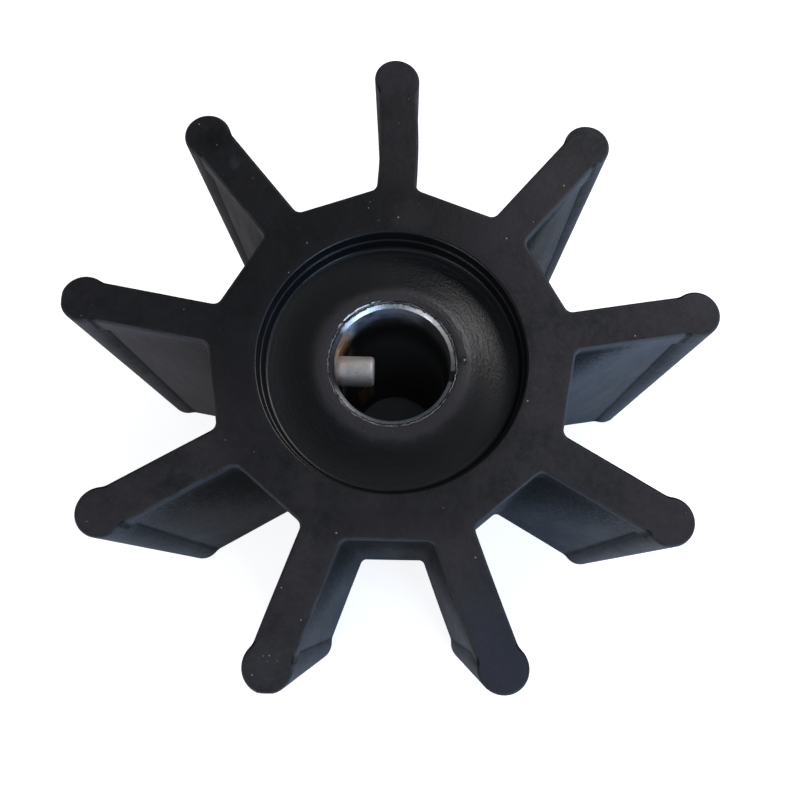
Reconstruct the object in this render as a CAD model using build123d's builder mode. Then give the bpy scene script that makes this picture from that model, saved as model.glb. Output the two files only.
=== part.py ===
from build123d import *
from math import atan, degrees
import os

# Flexible rubber pump impeller, moulded round a metal drive sleeve.
# The origin is on the shaft axis at mid length. +Z points to the end that carries the drive pin,
# and one vane points along +Y.

# Overall sizes
tip_radius = 47.6
body_length = 60.0
vane_count = 9

# Vanes: a web that ends in a round wiping bead
bead_radius = 3.4
web_thickness = 5.8
bead_neck_fillet = 2.5

# Hub: a flat between each pair of vanes
hub_flat_distance = 25.3
root_fillet = 1.2

# Webs and hub flats have full width at the far end and thin out towards the pin end, where a border
# is left proud of them
web_relief = 0.5
border_width = 4.0
border_slope = 1.2
slope_overrun = 1.2
end_edge_chamfer = 0.35

# Dished recess in both end faces
recess_radius = 18.95
recess_draft = 0.45
recess_depth = 4.4
recess_foot_chamfer = 0.8
ledge_depth = 2.2
ledge_width = 0.15
ledge_draft = 0.1
dish_rim_radius = 17.0
dish_fall = 0.55
boss_overhang = 0.3
boss_depth = 2.4
lip_setback = 1.35

# Metal sleeve, with its bore opened out round the drive pin
shaft_bore_radius = 8.0
pin_chamber_step = 0.4
pin_chamber_margin = 1.6
sleeve_wall = 2.6
sleeve_end_depth = 2.65
mouth_chamfer_width = 0.65
mouth_chamfer_depth = 0.55

# Drive pin through one side of the sleeve
pin_radius = 2.25
pin_depth = 7.8
pin_tip_distance = 2.8
pin_tip_chamfer = 0.4
pin_hole_clearance = 0.01

# Places that follow from those sizes
half_length = body_length / 2
bead_centre = tip_radius - bead_radius
vane_root_reach = bead_centre - 2 * bead_radius
slope_angle = degrees(atan(web_relief / border_slope))
recess_floor = half_length - recess_depth
recess_foot = recess_radius - recess_draft
ledge_height = half_length - ledge_depth
ledge_radius = recess_radius - ledge_draft
boss_face = half_length - boss_depth
sleeve_radius = shaft_bore_radius + sleeve_wall
boss_radius = sleeve_radius + boss_overhang
lip_radius = shaft_bore_radius + lip_setback
sleeve_half = half_length - sleeve_end_depth
mouth_foot = sleeve_half - mouth_chamfer_depth
pin_height = half_length - pin_depth
pin_chamber_floor = pin_height - pin_radius - pin_chamber_margin
pin_chamber_radius = shaft_bore_radius + pin_chamber_step


def hub_and_webs(relief):
    """Hub flats and webs with rounded roots, set back by the relief. The webs end inside the beads."""
    with BuildSketch() as star:
        RegularPolygon(hub_flat_distance - relief, vane_count, major_radius=False, rotation=90)
        with PolarLocations(bead_centre / 2, vane_count, start_angle=90):
            Rectangle(bead_centre, web_thickness - 2 * relief)
        fillet(star.vertices().filter_by(lambda v: v.center().length < vane_root_reach), root_fillet)
    return star.sketch


def border_outline():
    """Hub flats, full webs and beads, joined by rounded necks."""
    with BuildSketch() as star:
        add(hub_and_webs(0))
        with PolarLocations(bead_centre, vane_count, start_angle=90):
            Circle(bead_radius)
        necks = star.vertices().filter_by(
            lambda v: vane_root_reach < v.center().length < bead_centre
        )
        fillet(necks, bead_neck_fillet)
    return star.sketch


# Outer form of the sleeve, which the rubber is bonded to
with BuildPart() as sleeve_form:
    with BuildSketch():
        Circle(sleeve_radius)
    extrude(amount=sleeve_half, both=True)

# Through passage of the sleeve: a chamfered mouth at each end, the pin chamber and the shaft bore
with BuildPart() as passage_form:
    with BuildSketch(Plane.XZ):
        with BuildLine():
            Polyline(
                (0, sleeve_half),
                (pin_chamber_radius + mouth_chamfer_width, sleeve_half),
                (pin_chamber_radius, mouth_foot),
                (pin_chamber_radius, pin_chamber_floor + pin_chamber_step),
                (shaft_bore_radius, pin_chamber_floor),
                (shaft_bore_radius, -mouth_foot),
                (shaft_bore_radius + mouth_chamfer_width, -sleeve_half),
                (0, -sleeve_half),
                close=True,
            )
        make_face()
    revolve(axis=Axis.Z)

# Recess in both end faces: a wall with a small ledge, a floor and a dish that rises to the boss
with BuildPart() as recess_form:
    with BuildSketch(Plane.XZ) as recess:
        with BuildLine():
            dish = Spline(
                (boss_radius, boss_face),
                (dish_rim_radius, recess_floor),
                tangents=[(1, -dish_fall), (1, 0)],
            )
            Polyline(
                dish @ 1,
                (recess_foot, recess_floor),
                (ledge_radius - ledge_width, ledge_height),
                (ledge_radius, ledge_height),
                (recess_radius, half_length),
                (0, half_length),
                (0, boss_face),
                dish @ 0,
            )
        make_face()
        foot = recess.vertices().sort_by_distance((recess_foot, recess_floor))[0]
        chamfer(foot, recess_foot_chamfer)
    revolve(axis=Axis.Z)
    mirror(about=Plane.XY)

# Rubber moulding: drafted hub and webs, straight beads, the border at the pin end and both recesses
with BuildPart() as rubber_impeller:
    with BuildSketch(Plane.XY.offset(-half_length)):
        add(hub_and_webs(0))
    with BuildSketch(Plane.XY.offset(half_length)):
        add(hub_and_webs(web_relief))
    loft(ruled=True)
    with BuildSketch(Plane.XY.offset(-half_length)):
        with PolarLocations(bead_centre, vane_count, start_angle=90):
            Circle(bead_radius)
    extrude(amount=body_length)
    with BuildSketch(Plane.XY.offset(half_length)):
        add(border_outline())
    extrude(amount=-border_width)
    with BuildSketch(Plane.XY.offset(half_length - border_width)):
        add(border_outline())
    extrude(amount=-slope_overrun * border_slope, taper=slope_angle)

    end_face = rubber_impeller.faces().sort_by(Axis.Z)[-1]
    chamfer(end_face.outer_wire().edges(), end_edge_chamfer)
    add(recess_form.part, mode=Mode.SUBTRACT)

    add(sleeve_form.part, mode=Mode.SUBTRACT)
    with BuildSketch():
        Circle(lip_radius)
    extrude(amount=half_length, both=True, mode=Mode.SUBTRACT)

# Metal sleeve that carries the shaft, with a cross hole for the pin
with BuildPart() as hub_insert:
    add(sleeve_form.part)
    add(passage_form.part, mode=Mode.SUBTRACT)
    with BuildSketch(Plane.YZ):
        with Locations((0, pin_height)):
            Circle(pin_radius + pin_hole_clearance)
    extrude(amount=-sleeve_radius, mode=Mode.SUBTRACT)

# Drive pin: flush with the sleeve outside, chamfered where it stands in the bore
with BuildPart() as drive_pin:
    with BuildSketch(Plane.YZ.offset(-pin_tip_distance)):
        with Locations((0, pin_height)):
            Circle(pin_radius)
    extrude(amount=-(sleeve_radius - pin_tip_distance))
    chamfer(drive_pin.faces().sort_by(Axis.X)[-1].edges(), pin_tip_chamfer)
    with BuildSketch():
        Circle(sleeve_radius)
    extrude(amount=half_length, mode=Mode.INTERSECT)

rubber_impeller.part.label = "rubber_impeller"
hub_insert.part.label = "hub_insert"
drive_pin.part.label = "drive_pin"

os.makedirs("parts", exist_ok=True)
export_step(rubber_impeller.part, "parts/rubber_impeller.step")
export_step(hub_insert.part, "parts/hub_insert.step")
export_step(drive_pin.part, "parts/drive_pin.step")
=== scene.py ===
from math import atan2, cos, hypot, pi, radians, sin, sqrt, tau

import bmesh
import bpy
import numpy as np
from mathutils import Matrix, Vector


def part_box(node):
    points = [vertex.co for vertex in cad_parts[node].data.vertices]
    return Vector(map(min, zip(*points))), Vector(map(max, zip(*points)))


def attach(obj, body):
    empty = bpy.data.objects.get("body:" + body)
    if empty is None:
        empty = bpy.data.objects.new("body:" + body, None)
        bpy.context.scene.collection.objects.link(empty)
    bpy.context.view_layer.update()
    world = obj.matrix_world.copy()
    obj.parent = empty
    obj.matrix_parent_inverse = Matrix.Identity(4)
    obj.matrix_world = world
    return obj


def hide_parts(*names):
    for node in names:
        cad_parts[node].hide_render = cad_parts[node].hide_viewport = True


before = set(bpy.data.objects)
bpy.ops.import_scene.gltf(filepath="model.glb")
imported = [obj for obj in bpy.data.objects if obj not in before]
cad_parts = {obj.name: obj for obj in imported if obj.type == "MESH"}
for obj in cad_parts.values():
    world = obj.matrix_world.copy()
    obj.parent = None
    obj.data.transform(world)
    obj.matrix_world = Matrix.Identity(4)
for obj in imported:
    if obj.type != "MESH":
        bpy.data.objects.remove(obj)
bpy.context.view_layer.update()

scene = bpy.context.scene
MM = 0.001

# Sizes of the rubber moulding in millimetres, as the solid frame has them
VANES = 9
TIP = 47.6
BEAD = 3.4
BEAD_CENTRE = TIP - BEAD
WEB_HALF = 2.9
HUB_FLAT = 25.3
ROOT_FILLET = 1.2
NECK_FILLET = 2.5
HALF_LENGTH = 30.0
RELIEF = 0.5
RIM = 18.95
RIM_FOOT = 18.5
RECESS_FLOOR = 25.6
DISH_RIM = 17.0
BOSS = 10.9
BOSS_FACE = 27.6
LIP = 9.35
HALF_PITCH = pi / VANES

# Sleeve and pin
SLEEVE = 10.6
SLEEVE_END = 27.35
BORE = 8.0
CHAMBER = 8.4
CHAMBER_FLOOR = 18.35
MOUTH_FOOT = 26.8
MOUTH_CHAMFER = 0.65
PIN = 2.25
PIN_TIP = -2.8
PIN_BACK = -10.4
PIN_HEIGHT = 22.2

# How round the moulding's edges and creases are
CREASE_FILLET = 0.22
EDGE_ROUND = 0.35
FAR_ROUND = 0.15
RIM_ROUND = 0.3
FOOT_ROUND = 0.7

# Where the border's slope starts on the sides, how far down it runs, and how much lower it starts
# in the root corners
BORDER_FOOT = 26.25
BORDER_SLOPE = 1.35
CORNER_DROP = 1.5

# How far each vane has set sideways at its tip, counter-clockwise, how far its root side bows the
# other way, and how much it has grown or worn in length. The first is the vane along +Y.
VANE_SET = (0.54, -0.03, 0.03, 0.09, 0.17, 0.42, -0.11, -0.19, -0.09)
VANE_BOW = (0.25, 0.0, 0.0, 0.0, 0.0, 0.0, 0.0, 0.0, 0.0)
VANE_GROWTH = (-0.17, -0.16, 0.21, 0.25, 0.1, 0.01, -0.07, -0.06, -0.16)

# Which rubber a face of the moulding gets
END_FACE, SIDE, RECESS = 0, 1, 2


# Small helpers
def mm(*values):
    """Millimetres as metres."""
    return [value * MM for value in values]


def mesh_object(name, points, faces):
    """A smooth mesh in metres from points in millimetres, with its faces turned outwards."""
    mesh = bpy.data.meshes.new(name)
    mesh.from_pydata([tuple(c * MM for c in p) for p in points], [], faces)
    shell = bmesh.new()
    shell.from_mesh(mesh)
    if shell.calc_volume(signed=True) < 0:
        bmesh.ops.reverse_faces(shell, faces=shell.faces)
        shell.to_mesh(mesh)
    shell.free()
    mesh.polygons.foreach_set("use_smooth", [True] * len(mesh.polygons))
    mesh.update()
    piece = bpy.data.objects.new(name, mesh)
    scene.collection.objects.link(piece)
    return piece


def arc(centre, radius, start, end, count):
    """Points on an arc in the plane, both ends included."""
    return [
        (centre[0] + radius * cos(start + (end - start) * k / (count - 1)),
         centre[1] + radius * sin(start + (end - start) * k / (count - 1)))
        for k in range(count)
    ]


def line(a, b, count):
    """Points on a straight run, both ends included."""
    return [
        (a[0] + (b[0] - a[0]) * k / (count - 1), a[1] + (b[1] - a[1]) * k / (count - 1))
        for k in range(count)
    ]


def ease(x):
    """A smooth step from 0 to 1."""
    x = min(1.0, max(0.0, x))
    return x * x * (3 - 2 * x)


def band(near, far):
    """Faces between two rows of points. Where two corners are the same point it is used once."""
    faces = []
    for k in range(len(near) - 1):
        corners = list(dict.fromkeys((near[k], near[k + 1], far[k + 1], far[k])))
        if len(corners) > 2:
            faces.append(corners)
    return faces


# Rubber moulding: one vane with its share of the hub, then nine of them
FLAT_POINTS, ROOT_POINTS, WEB_POINTS, NECK_POINTS, BEAD_POINTS = 7, 7, 18, 7, 14
WEB_START = FLAT_POINTS + ROOT_POINTS - 2
NECK_START = WEB_START + WEB_POINTS - 1


def half_outline(relief, inset, neck):
    """One side of a vane, as (along, across) points from the middle of the hub flat to the tip."""
    web = WEB_HALF - relief - inset
    flat = HUB_FLAT - relief - inset
    bead = BEAD - inset
    root = ROOT_FILLET + inset
    neck = neck + inset
    root_along = (flat + root - sin(HALF_PITCH) * (web + root)) / cos(HALF_PITCH)
    root_centre = (root_along, web + root)
    neck_centre = (BEAD_CENTRE - sqrt((bead + neck) ** 2 - (web + neck) ** 2), web + neck)
    to_bead = atan2(-neck_centre[1], BEAD_CENTRE - neck_centre[0])
    flat_middle = (flat * cos(HALF_PITCH), flat * sin(HALF_PITCH))
    flat_end = (root_along - root * cos(HALF_PITCH), root_centre[1] - root * sin(HALF_PITCH))
    chain = line(flat_middle, flat_end, FLAT_POINTS)
    chain += arc(root_centre, root, HALF_PITCH - pi, -pi / 2, ROOT_POINTS)[1:]
    chain += line((root_along, web), (neck_centre[0], web), WEB_POINTS)[1:]
    chain += arc(neck_centre, neck, -pi / 2, to_bead, NECK_POINTS)[1:]
    chain += arc((BEAD_CENTRE, 0), bead, to_bead + pi, 0, BEAD_POINTS)[1:]
    return chain


BORDER = half_outline(0, 0, NECK_FILLET)
POCKET = half_outline(RELIEF, 0, CREASE_FILLET)

# Length along the border outline to each point, to the root corner and to the neck
RUN = [0.0]
for last, point in zip(BORDER, BORDER[1:]):
    RUN.append(RUN[-1] + hypot(point[0] - last[0], point[1] - last[1]))
ROOT_RUN = RUN[FLAT_POINTS + ROOT_POINTS // 2 - 1]
NECK_RUN = RUN[NECK_START + NECK_POINTS // 2]


def side_rows():
    """The side wall's rows, from the pin end down: height, and how far it is set in there."""
    turn = [pi / 2 * k / 4 for k in range(5)]
    rows = [(HALF_LENGTH - EDGE_ROUND * (1 - cos(a)), EDGE_ROUND * (1 - sin(a))) for a in turn]
    border_and_slope = (28.9, 28.0, 27.1, 26.6, 26.2, 25.85, 25.55, 25.25, 24.95, 24.65, 24.3, 23.6)
    rows += [(z, 0.0) for z in border_and_slope]
    top, bottom, count = 22.4, -29.0, 12
    rows += [(top - (top - bottom) * k / count, 0.0) for k in range(count + 1)]
    rows += [(FAR_ROUND * (1 - cos(a)) - HALF_LENGTH, FAR_ROUND * (1 - sin(a)))
             for a in reversed(turn)]
    return rows


def pocket_depth(i, z):
    """Share of the relief at outline point i and height z. It sinks in under the border, more
    roundly in the root corner, and runs out towards the far end."""
    border_foot = BORDER_FOOT
    if i <= WEB_START + 4:
        from_corner = abs(i - (FLAT_POINTS + 2)) / 6
        border_foot -= CORNER_DROP * (1 - ease(from_corner))
    return ease((border_foot - z) / BORDER_SLOPE) * (z + HALF_LENGTH) / (2 * HALF_LENGTH)


def recess_profile():
    """(radius, height) steps from the rim down the recess, up the dish and over the boss to the
    sleeve."""
    steps = [(RIM + RIM_ROUND * (1 - sin(a)), HALF_LENGTH - RIM_ROUND * (1 - cos(a)))
             for a in (0.4, 0.8, 1.2, pi / 2)]
    # Wall with its ledge, and the round foot
    steps += [(18.91, 28.6), (18.87, 27.95), (18.84, 27.84), (18.79, 27.80), (18.70, 27.78),
              (18.66, 27.73), (18.64, 27.6), (18.60, 26.9)]
    steps += [(RIM_FOOT + 0.06 - FOOT_ROUND + FOOT_ROUND * cos(a),
               RECESS_FLOOR + FOOT_ROUND - FOOT_ROUND * sin(a))
              for a in (0.0, 0.35, 0.7, 1.05, 1.4)]
    # Dish, level at its rim and steep where it meets the boss
    steps.append((DISH_RIM, RECESS_FLOOR + 0.002))
    rise_at_boss, count = 2.6, 12
    for k in range(1, count):
        s = k / count
        height = (2 * s ** 3 - 3 * s ** 2 + 1) * RECESS_FLOOR
        height += (-2 * s ** 3 + 3 * s ** 2) * BOSS_FACE + (s ** 3 - s ** 2) * rise_at_boss
        steps.append((DISH_RIM + (BOSS - DISH_RIM) * s, height))
    # Boss, its lip and the seat of the sleeve's end
    steps += [(BOSS + 0.12, BOSS_FACE - 0.06), (BOSS - 0.25, BOSS_FACE), (10.1, BOSS_FACE),
              (LIP + 0.16, BOSS_FACE), (LIP + 0.05, BOSS_FACE - 0.04), (LIP, BOSS_FACE - 0.14),
              (LIP, SLEEVE_END), (SLEEVE, SLEEVE_END)]
    return steps


def vane_and_hub_share():
    """One vane with its ninth of the hub, as a closed sector without its two cut faces."""
    points, faces, zone, run = [], [], [], []
    half = len(BORDER)
    around = 2 * half - 1

    def put(along, across, z, outline_run=0.0):
        points.append((-across, along, z))
        run.append(outline_run)
        return len(points) - 1

    def join(near, far, which):
        made = band(near, far)
        faces.extend(made)
        zone.extend([which] * len(made))

    # Side wall, from the upper end face down to the lower one
    wall = []
    for z, inset in side_rows():
        if inset > 0:
            chain = half_outline(0, inset, NECK_FILLET)
        else:
            chain = []
            for i in range(half):
                depth = pocket_depth(i, z)
                chain.append(tuple(b + (p - b) * depth for b, p in zip(BORDER[i], POCKET[i])))
        row = [put(u, t, z, r) for (u, t), r in zip(chain, RUN)]
        row += [put(u, -t, z, r) for (u, t), r in zip(reversed(chain[:-1]), reversed(RUN[:-1]))]
        wall.append(row)
    for upper, lower in zip(wall, wall[1:]):
        join(lower, upper, SIDE)

    # End faces and recesses, down to the seat of the sleeve
    lane_points, rings_to_rim = 11, 6
    seats = []
    for end, row in ((1, wall[0]), (-1, wall[-1])):
        def skin(outer, inner, which):
            join(*((outer, inner) if end > 0 else (inner, outer)), which)

        # Lanes across the vane, from the root to the tip
        z = end * HALF_LENGTH
        lanes = []
        for i in range(WEB_START, half):
            a, b = row[i], row[around - 1 - i]
            if a == b:
                lanes.append([a] * lane_points)
                continue
            (ax, ay, _), (bx, by, _) = points[a], points[b]
            inner = []
            for k in range(1, lane_points - 1):
                s = k / (lane_points - 1)
                inner.append(put(ay + (by - ay) * s, -(ax + (bx - ax) * s), z))
            lanes.append([a] + inner + [b])
        for near, far in zip(lanes, lanes[1:]):
            skin(far, near, END_FACE)

        # Rings from the hub's outline in to the rim, then down the recess
        before = outline = row[:WEB_START] + lanes[0] + row[around - WEB_START:]
        count = len(outline)
        spread = [HALF_PITCH * (1 - 2 * k / (count - 1)) for k in range(count)]
        rim = RIM + RIM_ROUND
        for step in range(1, rings_to_rim):
            s = step / rings_to_rim
            ring = []
            for k, a in enumerate(spread):
                x, y, _ = points[outline[k]]
                ring.append(put(y + (rim * cos(a) - y) * s, -x + (rim * sin(a) + x) * s, z))
            skin(before, ring, END_FACE)
            before = ring
        which = END_FACE
        for radius, height in [(rim, HALF_LENGTH)] + recess_profile():
            ring = [put(radius * cos(a), radius * sin(a), end * height) for a in spread]
            skin(before, ring, which)
            before, which = ring, RECESS
        seats.append(before)
    join(*seats, RECESS)

    sector = mesh_object("vane_and_hub_share", points, faces)
    sector.data.attributes.new("zone", "INT", "FACE").data.foreach_set("value", zone)
    sector.data.attributes.new("outline_run", "FLOAT", "POINT").data.foreach_set("value", run)
    return sector


class Wiring:
    """Adds nodes to a tree and joins them up."""

    def __init__(self, tree):
        self.tree = tree

    def add(self, kind, inputs=None, **settings):
        node = self.tree.nodes.new(kind)
        for key, value in settings.items():
            setattr(node, key, value)
        for key, value in (inputs or {}).items():
            self.feed(node.inputs[key], value)
        return node

    def feed(self, socket, value):
        if isinstance(value, bpy.types.NodeSocket):
            self.tree.links.new(value, socket)
        else:
            socket.default_value = value

    def maths(self, operation, *values):
        node = self.add("ShaderNodeMath", operation=operation)
        for socket, value in zip(node.inputs, values):
            self.feed(socket, value)
        return node.outputs[0]

    def plus(self, a, b):
        return self.maths("ADD", a, b)

    def minus(self, a, b):
        return self.maths("SUBTRACT", a, b)

    def times(self, a, b):
        return self.maths("MULTIPLY", a, b)

    def larger(self, a, b):
        return self.maths("MAXIMUM", a, b)

    def size_of(self, a):
        return self.maths("ABSOLUTE", a)

    def rest_of(self, share):
        """What is left of 1."""
        return self.minus(1.0, share)

    def span(self, value, low, high, to_low=0.0, to_high=1.0):
        """Goes smoothly from to_low to to_high as the value goes from low to high."""
        node = self.add("ShaderNodeMapRange", {"Value": value, "From Min": low, "From Max": high,
                                               "To Min": to_low, "To Max": to_high},
                        interpolation_type="SMOOTHSTEP")
        return node.outputs["Result"]

    def window(self, value, start, end, soft):
        """1 between start and end, with soft edges."""
        return self.times(self.span(value, start - soft, start + soft),
                          self.span(value, end + soft, end - soft))

    def noise(self, vector, scale, detail, rough, warp=0.0):
        node = self.add("ShaderNodeTexNoise", {"Vector": vector, "Scale": scale, "Detail": detail,
                                               "Roughness": rough, "Distortion": warp})
        return node.outputs["Fac"]

    def wander(self, noise, amount):
        """Noise spread evenly about 0."""
        return self.times(self.minus(noise, 0.5), amount)

    def blend(self, share, first, second):
        """The first colour where the share is 0 and the second where it is 1."""
        node = self.add("ShaderNodeMix", data_type="RGBA")
        for k, value in ((0, share), (6, first), (7, second)):
            self.feed(node.inputs[k], value)
        return node.outputs[2]

    def paint(self, base, colour, mask, strength):
        """Lays a colour over the base where the mask is 1."""
        return self.blend(self.times(mask, strength), base, colour)


def node_tree(name, kind, inputs, outputs):
    """A new node group: the tree, its wiring, what it is given and what it gives."""
    tree = bpy.data.node_groups.new(name, kind)
    for label, socket, value in inputs:
        made = tree.interface.new_socket(label, in_out="INPUT", socket_type=socket)
        if value is not None:
            made.default_value = value
    for label, socket in outputs:
        tree.interface.new_socket(label, in_out="OUTPUT", socket_type=socket)
    w = Wiring(tree)
    given, result = w.add("NodeGroupInput"), w.add("NodeGroupOutput")
    return tree, w, given.outputs, result.inputs


def vane_ring_tree():
    """Sets the one vane round the shaft, welds the seams and gives each zone its rubber."""
    rubbers = ("End Face Rubber", "Side Rubber", "Recess Rubber")
    tree, w, given, result = node_tree(
        "vane_ring", "GeometryNodeTree",
        [("Vane", "NodeSocketGeometry", None), ("Vane Count", "NodeSocketInt", VANES),
         ("Weld Distance", "NodeSocketFloat", 1e-6), ("Unevenness", "NodeSocketFloat", 0.00006),
         ("Uneven Scale", "NodeSocketFloat", 140.0), ("Uneven Seed", "NodeSocketFloat", 3.0)]
        + [(label, "NodeSocketMaterial", None) for label in rubbers],
        [("Moulding", "NodeSocketGeometry")])
    places = w.add("GeometryNodeMeshLine", {"Count": given["Vane Count"], "Offset": (0, 0, 0)})
    number = w.add("GeometryNodeInputIndex").outputs[0]
    turn = w.times(w.maths("DIVIDE", number, given["Vane Count"]), tau)
    spin = w.add("ShaderNodeCombineXYZ", {"Z": turn})
    around = w.add("GeometryNodeInstanceOnPoints",
                   {"Points": places.outputs[0], "Instance": given["Vane"],
                    "Rotation": spin.outputs[0]})
    whole = w.add("GeometryNodeRealizeInstances", {"Geometry": around.outputs[0]})
    welded = w.add("GeometryNodeMergeByDistance",
                   {"Geometry": whole.outputs[0], "Distance": given["Weld Distance"]})
    # Only the webs and flats are uneven: the end faces stay flat and the hub round the sleeve true
    place = w.add("GeometryNodeInputPosition").outputs[0]
    ripple = w.add("ShaderNodeTexNoise",
                   {"Vector": place, "W": given["Uneven Seed"], "Scale": given["Uneven Scale"],
                    "Detail": 2.0}, noise_dimensions="4D")
    shift = w.add("ShaderNodeVectorMath", {0: ripple.outputs["Color"], 1: (0.5, 0.5, 0.5)},
                  operation="SUBTRACT")
    parts = w.add("ShaderNodeSeparateXYZ", {"Vector": place})
    out = w.add("ShaderNodeCombineXYZ", {"X": parts.outputs[0], "Y": parts.outputs[1]})
    reach = w.add("ShaderNodeVectorMath", {0: out.outputs[0]}, operation="LENGTH")
    from_hub = w.span(reach.outputs["Value"], *mm(21.5, 24.5))
    amount = w.add("ShaderNodeVectorMath",
                   {0: shift.outputs[0], "Scale": w.times(given["Unevenness"], from_hub)},
                   operation="SCALE")
    level = w.add("ShaderNodeVectorMath", {0: amount.outputs[0], 1: (1, 1, 0)},
                  operation="MULTIPLY")
    moved = w.add("GeometryNodeSetPosition",
                  {"Geometry": welded.outputs[0], "Offset": level.outputs[0]})
    zone = w.add("GeometryNodeInputNamedAttribute", {"Name": "zone"}, data_type="INT").outputs[0]
    body = moved.outputs[0]
    for which, label in zip((END_FACE, SIDE, RECESS), rubbers):
        chosen = w.maths("COMPARE", zone, which, 0.5)
        body = w.add("GeometryNodeSetMaterial",
                     {"Geometry": body, "Selection": chosen, "Material": given[label]}).outputs[0]
    w.feed(result["Moulding"], body)
    return tree


def plain_mesh_from(piece, tree, values):
    """Runs the tree on the piece and keeps the result as a plain mesh."""
    modifier = piece.modifiers.new(tree.name, "NODES")
    modifier.node_group = tree
    for item in tree.interface.items_tree:
        if item.item_type == "SOCKET" and item.in_out == "INPUT" and item.name in values:
            modifier[item.identifier] = values[item.name]
    bpy.context.view_layer.update()
    seen = piece.evaluated_get(bpy.context.evaluated_depsgraph_get())
    mesh = bpy.data.meshes.new_from_object(seen)
    piece.modifiers.remove(modifier)
    piece.data = mesh
    return piece


def set_vanes(piece):
    """Leans, bows and stretches each vane by its own set, more towards the tip, and keeps them in
    the frame's box."""
    vane_root = 27.0
    bow_to_one = 6.75  # grown * (1 - grown) ** 2 is at most 1 / 6.75
    mesh = piece.data
    co = np.empty(len(mesh.vertices) * 3)
    mesh.vertices.foreach_get("co", co)
    co = co.reshape(-1, 3) / MM
    angle = np.arctan2(-co[:, 0], co[:, 1])
    number = np.round(angle / (2 * HALF_PITCH)).astype(int)
    centre = number * 2 * HALF_PITCH
    along = -co[:, 0] * np.sin(centre) + co[:, 1] * np.cos(centre)
    grown = np.clip((along - vane_root) / (TIP - vane_root), 0, 1)
    lean = np.array(VANE_SET)[number % VANES] * grown ** 2
    lean -= np.array(VANE_BOW)[number % VANES] * bow_to_one * grown * (1 - grown) ** 2
    longer = np.array(VANE_GROWTH)[number % VANES] * grown
    co[:, 0] += -lean * np.cos(centre) - longer * np.sin(centre)
    co[:, 1] += -lean * np.sin(centre) + longer * np.cos(centre)
    low, high = (np.array(c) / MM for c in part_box("rubber_impeller"))
    co = np.clip(co, low, high)
    mesh.vertices.foreach_set("co", (co * MM).ravel())
    mesh.update()


# Sleeve and pin
def soft_corner(before, corner, after, size, count=4):
    """Points that round a corner of a profile."""
    before, corner, after = Vector(before), Vector(corner), Vector(after)
    start = corner + (before - corner).normalized() * size
    end = corner + (after - corner).normalized() * size
    out = []
    for k in range(count):
        s = k / (count - 1)
        mid = start.lerp(corner, s).lerp(corner.lerp(end, s), s)
        out.append((mid.x, mid.y))
    return out


def drive_sleeve():
    """The turned sleeve: chamfered mouths, a plain bore and a slightly larger chamber round the
    pin. Its profile is a closed loop of (radius, height) corners, each with its rounding."""
    corners = [
        (SLEEVE, -SLEEVE_END, 0.1), (SLEEVE, SLEEVE_END, 0.1),
        (CHAMBER + MOUTH_CHAMFER, SLEEVE_END, 0.05), (CHAMBER, MOUTH_FOOT, 0.1),
        (CHAMBER, CHAMBER_FLOOR + CHAMBER - BORE, 0.1), (BORE, CHAMBER_FLOOR, 0.1),
        (BORE, -MOUTH_FOOT, 0.1), (BORE + MOUTH_CHAMFER, -SLEEVE_END, 0.05),
    ]
    long_run, pieces = 5, 6
    profile = []
    for k, (r, z, size) in enumerate(corners):
        before, after = corners[k - 1][:2], corners[(k + 1) % len(corners)][:2]
        profile += soft_corner(before, (r, z), after, size)
        far = Vector(after) - Vector((r, z))
        if far.length > long_run:
            profile += [(r + far.x * s / pieces, z + far.y * s / pieces) for s in range(1, pieces)]
    turns, count = 240, len(profile)
    points, faces = [], []
    for k in range(turns):
        a = tau * k / turns
        points += [(r * cos(a), r * sin(a), z) for r, z in profile]
        here, there = k * count, (k + 1) % turns * count
        for i in range(count):
            j = (i + 1) % count
            faces.append((here + i, there + i, there + j, here + j))
    return mesh_object("turned_sleeve", points, faces)


def dowel_pin():
    """The drive pin: a straight ground dowel, round at the edge of its free end."""
    tip_round, turns = 0.5, 64
    rows = [(PIN_BACK, 0.0), (PIN_BACK, PIN * 0.6), (PIN_BACK, PIN - 0.05), (PIN_BACK + 0.05, PIN)]
    rows += [(PIN_BACK + (PIN_TIP - PIN_BACK) * s, PIN) for s in (0.2, 0.4, 0.6, 0.8)]
    rows += [(PIN_TIP - tip_round + tip_round * sin(a), PIN - tip_round + tip_round * cos(a))
             for a in (0.0, 0.25, 0.5, 0.75, 1.0, 1.3, pi / 2)]
    rows += [(PIN_TIP, PIN * 0.75), (PIN_TIP, PIN * 0.4), (PIN_TIP, 0.0)]
    points, faces, rings = [], [], []
    for x, r in rows:
        first = len(points)
        if r == 0:
            points.append((x, 0.0, PIN_HEIGHT))
            rings.append([first] * (turns + 1))
            continue
        spread = [tau * k / turns for k in range(turns)]
        points += [(x, r * cos(a), PIN_HEIGHT + r * sin(a)) for a in spread]
        rings.append(list(range(first, first + turns)) + [first])
    for near, far in zip(rings, rings[1:]):
        faces += band(near, far)
    return mesh_object("dowel_pin", points, faces)


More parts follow.
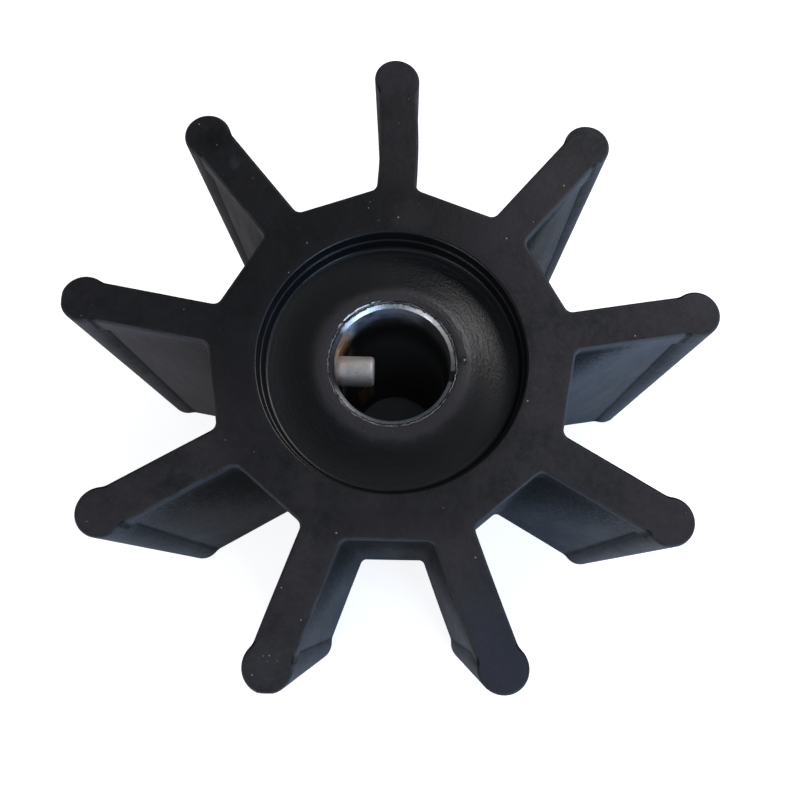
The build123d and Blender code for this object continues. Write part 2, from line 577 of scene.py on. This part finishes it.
# Shared surface effects
def dust_specks_group():
    """Scattered small specks of grit: a mask that is 1 on a speck."""
    tree, w, given, result = node_tree(
        "dust_specks", "ShaderNodeTree",
        [("Vector", "NodeSocketVector", None), ("Spacing Scale", "NodeSocketFloat", 300.0),
         ("Speck Size", "NodeSocketFloat", 0.12), ("Share", "NodeSocketFloat", 0.1)],
        [("Mask", "NodeSocketFloat")])
    cells = w.add("ShaderNodeTexVoronoi", {"Vector": given["Vector"], "Randomness": 1.0,
                                           "Scale": given["Spacing Scale"]})
    draw = w.add("ShaderNodeSeparateXYZ", {"Vector": cells.outputs["Color"]}).outputs
    chosen = w.maths("LESS_THAN", draw[0], given["Share"])
    size = w.times(given["Speck Size"], draw[1])
    inside = w.add("ShaderNodeMapRange", {"Value": cells.outputs["Distance"], "From Min": size,
                                          "From Max": w.times(size, 0.5)})
    w.feed(result["Mask"], w.times(inside.outputs["Result"], chosen))
    return tree


def rubber_skin_group():
    """Cloudy tone of moulded rubber and the height of its fine grain."""
    tree, w, given, result = node_tree(
        "rubber_skin", "ShaderNodeTree",
        [("Vector", "NodeSocketVector", None), ("Cloud Scale", "NodeSocketFloat", 60.0),
         ("Patch Scale", "NodeSocketFloat", 300.0), ("Grain Scale", "NodeSocketFloat", 2500.0)],
        [("Cloud", "NodeSocketFloat"), ("Patch", "NodeSocketFloat"),
         ("Grain Height", "NodeSocketFloat")])
    at = given["Vector"]
    w.feed(result["Cloud"], w.span(w.noise(at, given["Cloud Scale"], 4.0, 0.6, 0.4), 0.3, 0.7))
    w.feed(result["Patch"], w.span(w.noise(at, given["Patch Scale"], 5.0, 0.65, 0.3), 0.32, 0.68))
    w.feed(result["Grain Height"], w.noise(at, given["Grain Scale"], 2.0, 0.6))
    return tree


def rub_marks_group():
    """Faint rubs: a mask that is 1 where the noise is well past the threshold."""
    tree, w, given, result = node_tree(
        "rub_marks", "ShaderNodeTree",
        [("Vector", "NodeSocketVector", None), ("Scale", "NodeSocketFloat", 150.0),
         ("Threshold", "NodeSocketFloat", 0.62)],
        [("Mask", "NodeSocketFloat")])
    streaks = w.noise(given["Vector"], given["Scale"], 4.0, 0.62, 0.2)
    mask = w.add("ShaderNodeMapRange", {"Value": streaks, "From Min": given["Threshold"],
                                        "From Max": w.plus(given["Threshold"], 0.16)})
    w.feed(result["Mask"], mask.outputs["Result"])
    return tree


SPECKS = dust_specks_group()
SKIN = rubber_skin_group()
RUBS = rub_marks_group()


def grouped(w, tree, **values):
    """Adds a node group with its inputs, given by name with _ for each space."""
    node = w.add("ShaderNodeGroup", node_tree=tree)
    for key, value in values.items():
        w.feed(node.inputs[key.replace("_", " ")], value)
    return node.outputs


def specks(w, at, spacing_scale, size, share):
    return grouped(w, SPECKS, Vector=at, Spacing_Scale=spacing_scale, Speck_Size=size,
                   Share=share)["Mask"]


def soft_spot(w, at, x, y, radius, ragged=0.5, scale=500.0):
    """A ragged round mark on an end face: 1 at its middle, which is given in millimetres."""
    apart = w.add("ShaderNodeVectorMath", {0: at, 1: (x * MM, y * MM, 0.0)}, operation="SUBTRACT")
    flat = w.add("ShaderNodeVectorMath", {0: apart.outputs[0], 1: (1, 1, 0)}, operation="MULTIPLY")
    away = w.add("ShaderNodeVectorMath", {0: flat.outputs[0]}, operation="LENGTH").outputs["Value"]
    torn = w.wander(w.noise(at, scale, 3.0, 0.6), ragged * 2.0)
    return w.span(w.plus(w.maths("DIVIDE", away, radius * MM), torn), 1.0, 0.25)


def upward(w):
    """1 on edges that look towards +Y."""
    normal = w.add("ShaderNodeNewGeometry").outputs["Normal"]
    parts = w.add("ShaderNodeSeparateXYZ", {0: normal})
    return w.span(parts.outputs["Y"], 0.1, 0.45)


def grey(value, tint=(1.0, 1.0, 1.0)):
    return tuple(value * t for t in tint) + (1.0,)


class Place:
    """Where a point of a surface lies, in metres from the middle of the shaft's axis."""

    def __init__(self, w):
        self.w = w
        self.at = w.add("ShaderNodeTexCoord").outputs["Object"]
        self.x, self.y, self.z = w.add("ShaderNodeSeparateXYZ", {"Vector": self.at}).outputs

    def reach(self):
        """Distance from the shaft's axis."""
        w = self.w
        return w.maths("SQRT", w.plus(w.times(self.x, self.x), w.times(self.y, self.y)))

    def angle(self):
        """Angle round the shaft, counter-clockwise from +X."""
        return self.w.maths("ARCTAN2", self.y, self.x)


def bare_material(name):
    material = bpy.data.materials.new(name)
    material.use_nodes = True
    material.node_tree.nodes.clear()
    return material, Wiring(material.node_tree)


def shaded_material(name):
    """A material with its wiring, its shader, and where each point of the surface lies."""
    material, w = bare_material(name)
    shader = w.add("ShaderNodeBsdfPrincipled")
    w.add("ShaderNodeOutputMaterial", {"Surface": shader.outputs[0]})
    return material, w, shader, Place(w)


def finish_surface(w, shader, colour, roughness, height, strength, depth):
    """Feeds the shader its colour and roughness, and bumps as deep as the depth in millimetres."""
    w.feed(shader.inputs["Base Color"], colour)
    w.feed(shader.inputs["Roughness"], roughness)
    bump = w.add("ShaderNodeBump", {"Height": height, "Strength": strength,
                                    "Distance": depth * MM})
    w.feed(shader.inputs["Normal"], bump.outputs[0])


# Materials
def end_face_rubber():
    """Flat moulded faces: matte, cloudy, with grit, pale rubs and a few handling marks, and painted
    shade and sheen.
    """
    material, w, shader, place = shaded_material("end_face_rubber")
    at = place.at
    skin = grouped(w, SKIN, Vector=at, Cloud_Scale=48.0, Patch_Scale=230.0, Grain_Scale=1500.0)
    cool, violet = grey(0.0105, (0.94, 1.0, 1.02)), grey(0.0275, (1.15, 0.94, 1.04))
    base = w.blend(skin["Cloud"], cool, violet)
    base = w.paint(base, grey(0.031, (1.10, 0.96, 1.02)), skin["Patch"], 0.6)
    mottle = w.span(w.noise(at, 900.0, 4.0, 0.7), 0.36, 0.66)
    base = w.paint(base, grey(0.040), mottle, 0.36)
    rubs = grouped(w, RUBS, Vector=at, Scale=130.0, Threshold=0.57)["Mask"]
    base = w.paint(base, grey(0.040, (1.06, 0.98, 0.96)), rubs, 0.4)
    # The hub is painted darker as shade, less so on the right where the light falls
    hub = w.times(w.span(place.reach(), *mm(29, 23)), w.span(place.x, *mm(22, 6)))
    base = w.paint(base, grey(0.0045, (0.95, 1.0, 1.0)), hub, 0.42)
    # Painted blue sheen of light on one tip, a dark smudge on another, painted shade over the upper
    # left, and pale smears
    blue_sheen = soft_spot(w, at, 15.5, -41.0, 15.0, 0.25, 120.0)
    base = w.paint(base, grey(0.034, (0.84, 0.98, 1.35)), blue_sheen, 0.6)
    base = w.paint(base, grey(0.005), soft_spot(w, at, -27.5, 33.0, 3.2, 0.7), 0.7)
    upper_left = soft_spot(w, at, -22.0, 20.0, 45.0, 0.3, 70.0)
    base = w.paint(base, grey(0.0045, (0.9, 1.0, 1.04)), upper_left, 0.66)
    for spot in ((-24.0, 29.3, 1.3), (29.5, 36.5, 1.8), (44.0, 9.3, 3.5), (-15.5, -41.0, 4.0)):
        base = w.paint(base, grey(0.045), soft_spot(w, at, *spot, 0.95, 700.0), 0.35)
    rub_on_hub = grey(0.030, (1.08, 0.97, 0.97))
    for spot in ((-11.5, -18.5, 3.4), (21.5, 3.0, 3.0), (2.0, 21.5, 3.6)):
        base = w.paint(base, rub_on_hub, soft_spot(w, at, *spot, 0.9, 420.0), 0.35)
    # Fine dust, pale grit with crumbs on one tip, and dark pits
    base = w.paint(base, grey(0.08), specks(w, at, 1100.0, 0.14, 0.30), 0.35)
    crumbs = w.times(specks(w, at, 1500.0, 0.26, 0.9), soft_spot(w, at, -15.8, -41.5, 3.0, 0.6))
    grit = w.larger(specks(w, at, 700.0, 0.11, 0.42), crumbs)
    base = w.paint(base, grey(0.36), grit, 0.8)
    base = w.paint(base, grey(0.003), specks(w, at, 410.0, 0.12, 0.2), 0.6)
    # Edges that look up at the lamp are painted dark as shade and made rougher, so they don't shine
    edge = w.times(upward(w), w.span(place.z, *mm(29.5, 29.8)))
    base = w.paint(base, grey(0.0), edge, 0.9)
    roughness = w.plus(w.span(skin["Patch"], 0.0, 1.0, 0.50, 0.62), w.times(edge, 0.4))
    shader.inputs["Specular IOR Level"].default_value = 0.13
    height = w.plus(skin["Grain Height"], w.times(skin["Patch"], 0.7))
    finish_surface(w, shader, base, roughness, height, 0.45, 0.12)
    return material


def side_rubber():
    """Vane sides and hub flats: a pale bluish bloom, partly dust and partly painted sheen of bluish
    light, with painted shade in a speckled patch under the border.
    """
    material, w, shader, place = shaded_material("side_rubber")
    at, angle = place.at, place.angle()
    # Height, and length along the outline from the middle of a hub flat, both in millimetres
    height = w.times(place.z, 1000.0)
    run = w.add("ShaderNodeAttribute", attribute_name="outline_run",
                attribute_type="GEOMETRY").outputs["Fac"]
    lengthwise = w.add("ShaderNodeMapping", {"Vector": at, "Scale": (1.0, 1.0, 0.3)}).outputs[0]
    skin = grouped(w, SKIN, Vector=lengthwise, Cloud_Scale=55.0, Patch_Scale=260.0,
                   Grain_Scale=2300.0)
    # Pale bluish tone: partly dust bloom, partly painted sheen of bluish light on the sides
    base = w.blend(skin["Cloud"], grey(0.040, (1.03, 0.99, 1.0)), grey(0.060, (0.97, 1.0, 1.06)))
    base = w.paint(base, grey(0.062, (1.0, 1.0, 1.04)), skin["Patch"], 0.25)
    # Painted shade in a speckled patch, darkest in the root corner just under the border, and
    # smaller on the right where the light falls
    below = w.times(w.minus(26.0, height), 0.020)
    outward = w.times(w.minus(run, ROOT_RUN), 0.056)
    torn = w.wander(w.noise(at, 1900.0, 3.0, 0.75), 1.3)
    on_right = w.span(w.maths("COSINE", w.minus(angle, radians(25))), 0.55, 0.85)
    away = w.times(w.plus(below, w.size_of(outward)), w.plus(1.0, w.times(on_right, 0.9)))
    in_pocket = w.span(height, 30.4, 27.6)
    corner_shade = w.times(w.rest_of(w.span(w.plus(away, torn), 0.25, 1.15)), in_pocket)
    # The two vanes at upper left get painted warm light from the left, and less of the painted
    # shade
    left_warm_light = w.times(w.span(angle, radians(96), radians(108)),
                    w.span(angle, radians(179.8), radians(178)))
    corner_shade = w.times(corner_shade, w.rest_of(w.times(left_warm_light, 0.8)))
    base = w.paint(base, grey(0.044, (1.12, 0.96, 0.92)), left_warm_light, 0.5)
    base = w.paint(base, grey(0.005, (0.95, 1.0, 1.06)), corner_shade, 0.92)
    # Faint cross marks on the beads
    on_bead = w.span(run, NECK_RUN + 0.3, NECK_RUN + 1.0)
    cross_at = w.add("ShaderNodeCombineXYZ", {"X": w.times(run, 0.25), "Y": height,
                                              "Z": w.times(angle, 3.0)}).outputs[0]
    cross = w.span(w.noise(cross_at, 1.3, 4.0, 0.6), 0.35, 0.65)
    base = w.paint(base, grey(0.016, (1.06, 0.98, 1.0)), w.times(on_bead, cross), 0.5)
    # Outermost edge painted dark as shade, less so on the right where the light falls, and worn
    # pale here and there
    by_edge = w.span(height, 29.2, 29.6)
    dark_edge = w.minus(0.7, w.times(on_right, 0.5))
    base = w.paint(base, grey(0.010, (0.95, 1.0, 1.06)), by_edge, dark_edge)
    worn = w.times(w.span(height, 29.3, 29.85), w.span(skin["Patch"], 0.2, 0.7))
    base = w.paint(base, grey(0.055), worn, 0.3)
    # Painted shade in the crease where a bead meets the web, and upper edges that look towards +Y
    # painted dark as shade
    crease_shade = w.span(w.size_of(w.minus(run, NECK_RUN)), 0.75, 0.25)
    base = w.paint(base, grey(0.003), crease_shade, 0.85)
    edge = w.times(upward(w), by_edge)
    base = w.paint(base, grey(0.0), edge, 0.9)
    base = w.paint(base, grey(0.18), specks(w, at, 420.0, 0.05, 0.12), 0.6)
    roughness = w.plus(w.span(skin["Patch"], 0.0, 1.0, 0.50, 0.60),
                       w.times(w.larger(corner_shade, edge), 0.35))
    shader.inputs["Specular IOR Level"].default_value = 0.14
    relief = w.plus(skin["Grain Height"], w.times(skin["Patch"], 0.8))
    finish_surface(w, shader, base, roughness, relief, 0.3, 0.12)
    return material


def recess_rubber():
    """Recess, dish and boss: dark satin rubber with faint rings left by the mould."""
    material, w, shader, place = shaded_material("recess_rubber")
    at, reach, angle = place.at, place.reach(), place.angle()
    wall_start, wall_end = mm(17.4, 18.2)
    skin = grouped(w, SKIN, Vector=at, Cloud_Scale=60.0, Patch_Scale=300.0, Grain_Scale=2200.0)
    base = w.blend(skin["Cloud"], grey(0.0075, (0.9, 1.0, 1.05)), grey(0.0105, (0.95, 1.0, 1.04)))
    # Painted shade: the recess wall is darker than the dish
    base = w.blend(w.span(reach, wall_start, wall_end), base, grey(0.0022, (0.9, 1.0, 1.1)))
    boss_edge = w.plus(reach, w.wander(skin["Patch"], 0.7 * MM))
    on_boss = w.span(boss_edge, *mm(12.3, 10.8))
    base = w.blend(on_boss, base, grey(0.0240, (1.10, 0.97, 1.02)))
    # Torn rubber round the mouth: a painted highlight along its broken edge on the upper left, and
    # a nick on the right with a painted glint in it and painted shade round it
    ragged = w.wander(w.noise(at, 1500.0, 3.0, 0.7), 0.4 * MM)
    from_line = w.size_of(w.minus(w.plus(reach, ragged), 9.42 * MM))
    torn_edge_highlight = w.times(w.span(from_line, *mm(0.10, 0.04)),
                        w.span(w.noise(at, 900.0, 2.0, 0.5), 0.42, 0.52))
    upper_left = w.times(w.span(angle, 1.75, 1.95), w.span(angle, 2.62, 2.45))
    nick_glint = w.times(soft_spot(w, at, 10.35, 0.6, 0.16, 2.0, 3600.0), 0.4)
    bright = w.larger(w.times(torn_edge_highlight, upper_left), nick_glint)
    # Painted shade round the nick
    base = w.paint(base, grey(0.002), soft_spot(w, at, 10.35, 0.6, 1.3, 0.6, 900.0), 0.8)
    round_mouth = w.times(specks(w, at, 1000.0, 0.12, 0.5), w.span(reach, *mm(11.3, 9.8)))
    dust = w.larger(round_mouth, specks(w, at, 700.0, 0.09, 0.22))
    base = w.paint(base, grey(0.20), dust, 0.6)
    base = w.blend(bright, base, grey(0.85, (0.97, 1.0, 1.04)))
    # Worn smooth at the upper right of the dish, with rings in it. The wall is smoother still.
    rings_at = w.add("ShaderNodeCombineXYZ", {"X": w.times(reach, 6.0),
                                              "Y": w.times(angle, 0.012)}).outputs[0]
    rings = w.noise(rings_at, 420.0, 3.0, 0.6)
    towards = w.maths("COSINE", w.minus(angle, radians(35)))
    on_floor = w.span(reach, wall_end, wall_start)
    roughness = w.plus(w.times(w.span(towards, 0.2, 0.98, 0.78, 0.37), on_floor),
                       w.times(0.34, w.rest_of(on_floor)))
    roughness = w.plus(roughness, w.span(rings, 0.3, 0.7, -0.03, 0.03))
    shader.inputs["Specular IOR Level"].default_value = 0.32
    height = w.plus(w.times(rings, 0.6), w.times(skin["Grain Height"], 0.5))
    finish_surface(w, shader, base, roughness, w.times(height, on_floor), 0.8, 0.14)
    return material


def turned_sleeve_metal():
    """Turned metal: bright at the chamfered mouths, filmed and stained down the bore, with painted
    light, shade and reflections on both.
    """
    material, w, shader, place = shaded_material("turned_sleeve_metal")
    at, z, reach, angle = place.at, place.z, place.reach(), place.angle()
    mouth = w.span(w.size_of(z), *mm(26.65, 26.85))
    rings_at = w.add("ShaderNodeCombineXYZ", {"X": w.times(reach, 3.0), "Y": w.times(z, 3.0),
                                              "Z": w.times(angle, 0.004)}).outputs[0]
    rings = w.noise(rings_at, 900.0, 3.0, 0.6)
    cloud = w.noise(at, 420.0, 4.0, 0.6)
    fine = w.noise(at, 1500.0, 3.0, 0.65)

    def sector(start, end, soft=0.12):
        """1 between two angles round the shaft, in degrees."""
        return w.window(angle, radians(start), radians(end), soft)

    def level(low, high, soft):
        """1 between two heights, in millimetres."""
        return w.window(z, *mm(low, high, soft))

    # Bore: dark film, painted lighter deeper down and darker on the lower half, a painted pale
    # bluish sheen under the upper rim, a painted orange-brown reflection behind the pin and a
    # painted tan reflection of the pin's end further down
    wall = w.blend(w.span(cloud, 0.3, 0.7), grey(0.022), grey(0.040))
    wall = w.blend(w.span(z, *mm(18, 10)), wall, grey(0.12))
    lower_half = w.span(w.maths("SINE", angle), 0.1, -0.7)
    wall = w.paint(wall, grey(0.014), lower_half, 0.8)
    upper_wall_sheen = w.times(w.times(sector(62, 138), level(21.5, 30, 2.6)), w.span(cloud, 0.2, 0.65))
    wall = w.paint(wall, (0.24, 0.27, 0.31, 1.0), upper_wall_sheen, 0.42)
    drips = w.times(sector(135, 149), level(20.5, 29, 0.6))
    wall = w.paint(wall, (0.36, 0.40, 0.36, 1.0), drips, w.span(fine, 0.3, 0.55))
    # Painted orange-brown reflection on the wall behind the pin
    rust = w.blend(w.span(cloud, 0.35, 0.62), (0.24, 0.09, 0.04, 1.0), (0.48, 0.30, 0.15, 1.0))
    by_pin = w.times(sector(144, 192), level(13.5, 26.6, 1.2))
    wall = w.paint(wall, rust, by_pin, w.span(fine, 0.26, 0.5))
    # Painted tan reflection of the pin's end further down
    deep = w.times(sector(122, 150, 0.03), level(-20, -7, 2.5))
    wall = w.paint(wall, (0.55, 0.36, 0.18, 1.0), deep, w.span(cloud, 0.3, 0.5))
    # Painted shade: a dark band at the step from the chamber down to the bore
    chamber_step = w.times(w.span(z, *mm(18.0, 18.3)), w.span(z, *mm(19.1, 18.8)))
    wall = w.paint(wall, grey(0.0), chamber_step, 0.9)
    # Mouth: painted a little brighter towards the top, painted shade on the left, a painted bluish
    # reflection on the upper left and a dark mark on the right, with rubber smeared over its outer
    # edge and a painted highlight in a thin broken line there
    from_top = w.maths("COSINE", w.minus(angle, radians(98)))
    cut = w.blend(w.span(from_top, -0.9, 1.0, 0.42, 0.46), grey(0.0), grey(1.0, (0.99, 1.0, 1.02)))
    left_shade = w.larger(sector(146, 190, 0.1), sector(-190, -150, 0.2))
    cut = w.paint(cut, grey(0.015, (1.1, 1.0, 0.9)), left_shade, 0.94)
    cut = w.paint(cut, (0.80, 0.88, 0.86, 1.0), sector(100, 132, 0.1), 0.7)
    cut = w.paint(cut, grey(0.02), sector(-17, -6, 0.02), 0.9)
    cut = w.paint(cut, grey(0.06), w.span(w.noise(at, 2400.0, 3.0, 0.7), 0.50, 0.66), 0.45)
    outer = w.plus(reach, w.wander(w.noise(at, 2000.0, 3.0, 0.7), 0.6 * MM))
    cut = w.paint(cut, grey(0.02), w.span(outer, *mm(8.90, 9.00)), 0.94)
    from_line = w.size_of(w.minus(outer, 9.22 * MM))
    fringe_highlight = w.times(w.span(from_line, *mm(0.07, 0.03)),
                        w.span(w.noise(at, 520.0, 2.0, 0.5), 0.34, 0.52))
    cut = w.paint(cut, grey(0.6), fringe_highlight, 0.65)
    w.feed(shader.inputs["Metallic"], mouth)
    bore_roughness = w.plus(0.62, w.times(chamber_step, 0.3))
    roughness = w.plus(w.times(w.rest_of(mouth), bore_roughness),
                       w.times(mouth, w.span(rings, 0.3, 0.7, 0.38, 0.46)))
    finish_surface(w, shader, w.blend(mouth, wall, cut), roughness, rings, 0.25, 0.04)
    return material


def ground_pin_metal():
    """Ground steel dowel, dulled by use, with tiny pits and rust where it enters the wall."""
    material, w, shader, place = shaded_material("ground_pin_metal")
    at = place.at
    crosswise = w.add("ShaderNodeMapping", {"Vector": at, "Scale": (5.0, 1.0, 1.0)}).outputs[0]
    marks = w.noise(crosswise, 500.0, 3.0, 0.6)
    cloud = w.noise(at, 800.0, 3.0, 0.6)
    base = w.blend(w.span(cloud, 0.3, 0.7), grey(0.34, (1.06, 0.97, 0.88)),
                   grey(0.46, (1.05, 0.98, 0.90)))
    base = w.paint(base, grey(0.06, (1.1, 1.0, 0.8)), specks(w, at, 1500.0, 0.22, 0.3), 0.6)
    by_wall = w.span(w.plus(place.x, w.times(cloud, 1.2 * MM)), *mm(-6.6, -7.9))
    base = w.paint(base, (0.16, 0.10, 0.06, 1.0), by_wall, 0.75)
    shader.inputs["Metallic"].default_value = 0.5
    finish_surface(w, shader, base, w.span(marks, 0.3, 0.7, 0.46, 0.58), marks, 0.2, 0.03)
    return material


# Floor, camera and light
def pale_floor():
    """A wide pale floor that the camera sees as white. Under the bore it is in the hub's shade."""
    size, low = 3.0, -HALF_LENGTH * MM - 0.00002
    mesh = bpy.data.meshes.new("floor")
    corners = [(-size, -size, low), (size, -size, low), (size, size, low), (-size, size, low)]
    mesh.from_pydata(corners, [], [(0, 1, 2, 3)])
    floor = bpy.data.objects.new("floor", mesh)
    scene.collection.objects.link(floor)
    material, w = bare_material("pale_floor")
    reach = Place(w).reach()
    outside = w.span(reach, *mm(9.5, 12.5))
    matte = w.add("ShaderNodeBsdfDiffuse",
                  {"Color": w.blend(outside, grey(0.36), (0.60, 0.61, 0.62, 1.0))})
    path = w.add("ShaderNodeLightPath").outputs
    in_view = w.times(path["Is Camera Ray"], outside)
    # Glow seen in reflections fades out near the object, as painted shade of the floor there
    mirrored = w.plus(path["Is Glossy Ray"], path["Is Transmission Ray"])
    mirrored = w.times(mirrored, w.span(reach, 0.05, 0.2, 0.0, 0.8))
    glow = w.add("ShaderNodeEmission", {"Color": (1, 1, 1, 1),
                                        "Strength": w.plus(w.times(in_view, 0.8), mirrored)})
    both = w.add("ShaderNodeAddShader", {0: matte.outputs[0], 1: glow.outputs[0]})
    w.add("ShaderNodeOutputMaterial", {"Surface": both.outputs[0]})
    floor.data.materials.append(material)


def photo_camera():
    """The camera that was fitted to the outlines in the photograph."""
    data = bpy.data.cameras.new("camera")
    data.sensor_width = 36.0
    data.lens = 37.629
    data.shift_x, data.shift_y = -0.03006, 0.00322
    data.clip_start = 0.005
    camera = bpy.data.objects.new("camera", data)
    place = Vector(mm(2.177, -32.724, 142.776))
    right = Vector((0.99956, 0.01607, 0.02487))
    back = Vector((-0.02056, -0.22764, 0.97353)).normalized()
    up = back.cross(right).normalized()
    right = up.cross(back)
    turn = Matrix((right, up, back)).transposed().to_4x4()
    camera.matrix_world = Matrix.Translation(place) @ turn
    scene.collection.objects.link(camera)
    scene.camera = camera


# Soft square lamps that look at the hub: name, azimuth, elevation, watts and colour
LAMP_DISTANCE, LAMP_SIZE = 0.60, 0.28
LAMPS = (
    ("upper_right_light", 45, 44, 1.95, (1.0, 0.96, 0.97)),
    ("cool_right_light", 352, 15, 1.1, (0.42, 0.62, 1.0)),
    ("cool_front_light", 312, 12, 3.7, (0.47, 0.67, 1.0)),
    ("front_low_light", 230, 12, 1.6, (0.92, 0.92, 1.0)),
    ("left_low_light", 196, 10, 0.35, (1.0, 0.84, 0.84)),
    ("front_overhead_light", 285, 74, 0.36, (0.80, 0.84, 1.0)),
)


def lights():
    for name, azimuth, elevation, power, colour in LAMPS:
        data = bpy.data.lights.new(name, "AREA")
        data.shape = "SQUARE"
        data.size = LAMP_SIZE
        data.energy = power
        data.color = colour
        light = bpy.data.objects.new(name, data)
        a, e = radians(azimuth), radians(elevation)
        place = Vector((cos(a) * cos(e), sin(a) * cos(e), sin(e))) * LAMP_DISTANCE
        light.location = place
        light.rotation_euler = (-place).to_track_quat("-Z", "Y").to_euler()
        scene.collection.objects.link(light)
    world = bpy.data.worlds.new("room")
    world.use_nodes = True
    background = world.node_tree.nodes["Background"]
    background.inputs["Color"].default_value = (0.75, 0.90, 1.0, 1.0)
    background.inputs["Strength"].default_value = 0.18
    scene.world = world


# Making it
side = side_rubber()
share = vane_and_hub_share()
share.data.materials.append(side)
moulding = plain_mesh_from(share, vane_ring_tree(), {
    "End Face Rubber": end_face_rubber(), "Side Rubber": side, "Recess Rubber": recess_rubber()})
moulding.name = "rubber_moulding"
moulding.data.name = "rubber_moulding"
set_vanes(moulding)

sleeve = drive_sleeve()
sleeve.data.materials.append(turned_sleeve_metal())
pin = dowel_pin()
pin.data.materials.append(ground_pin_metal())

for piece, node, slot in ((moulding, "rubber_impeller", "black_rubber"),
                          (sleeve, "hub_insert", "sleeve_metal"), (pin, "drive_pin", "pin_steel")):
    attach(piece, "root")
    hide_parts(node)

pale_floor()
photo_camera()
lights()
scene.view_settings.view_transform = "Standard"
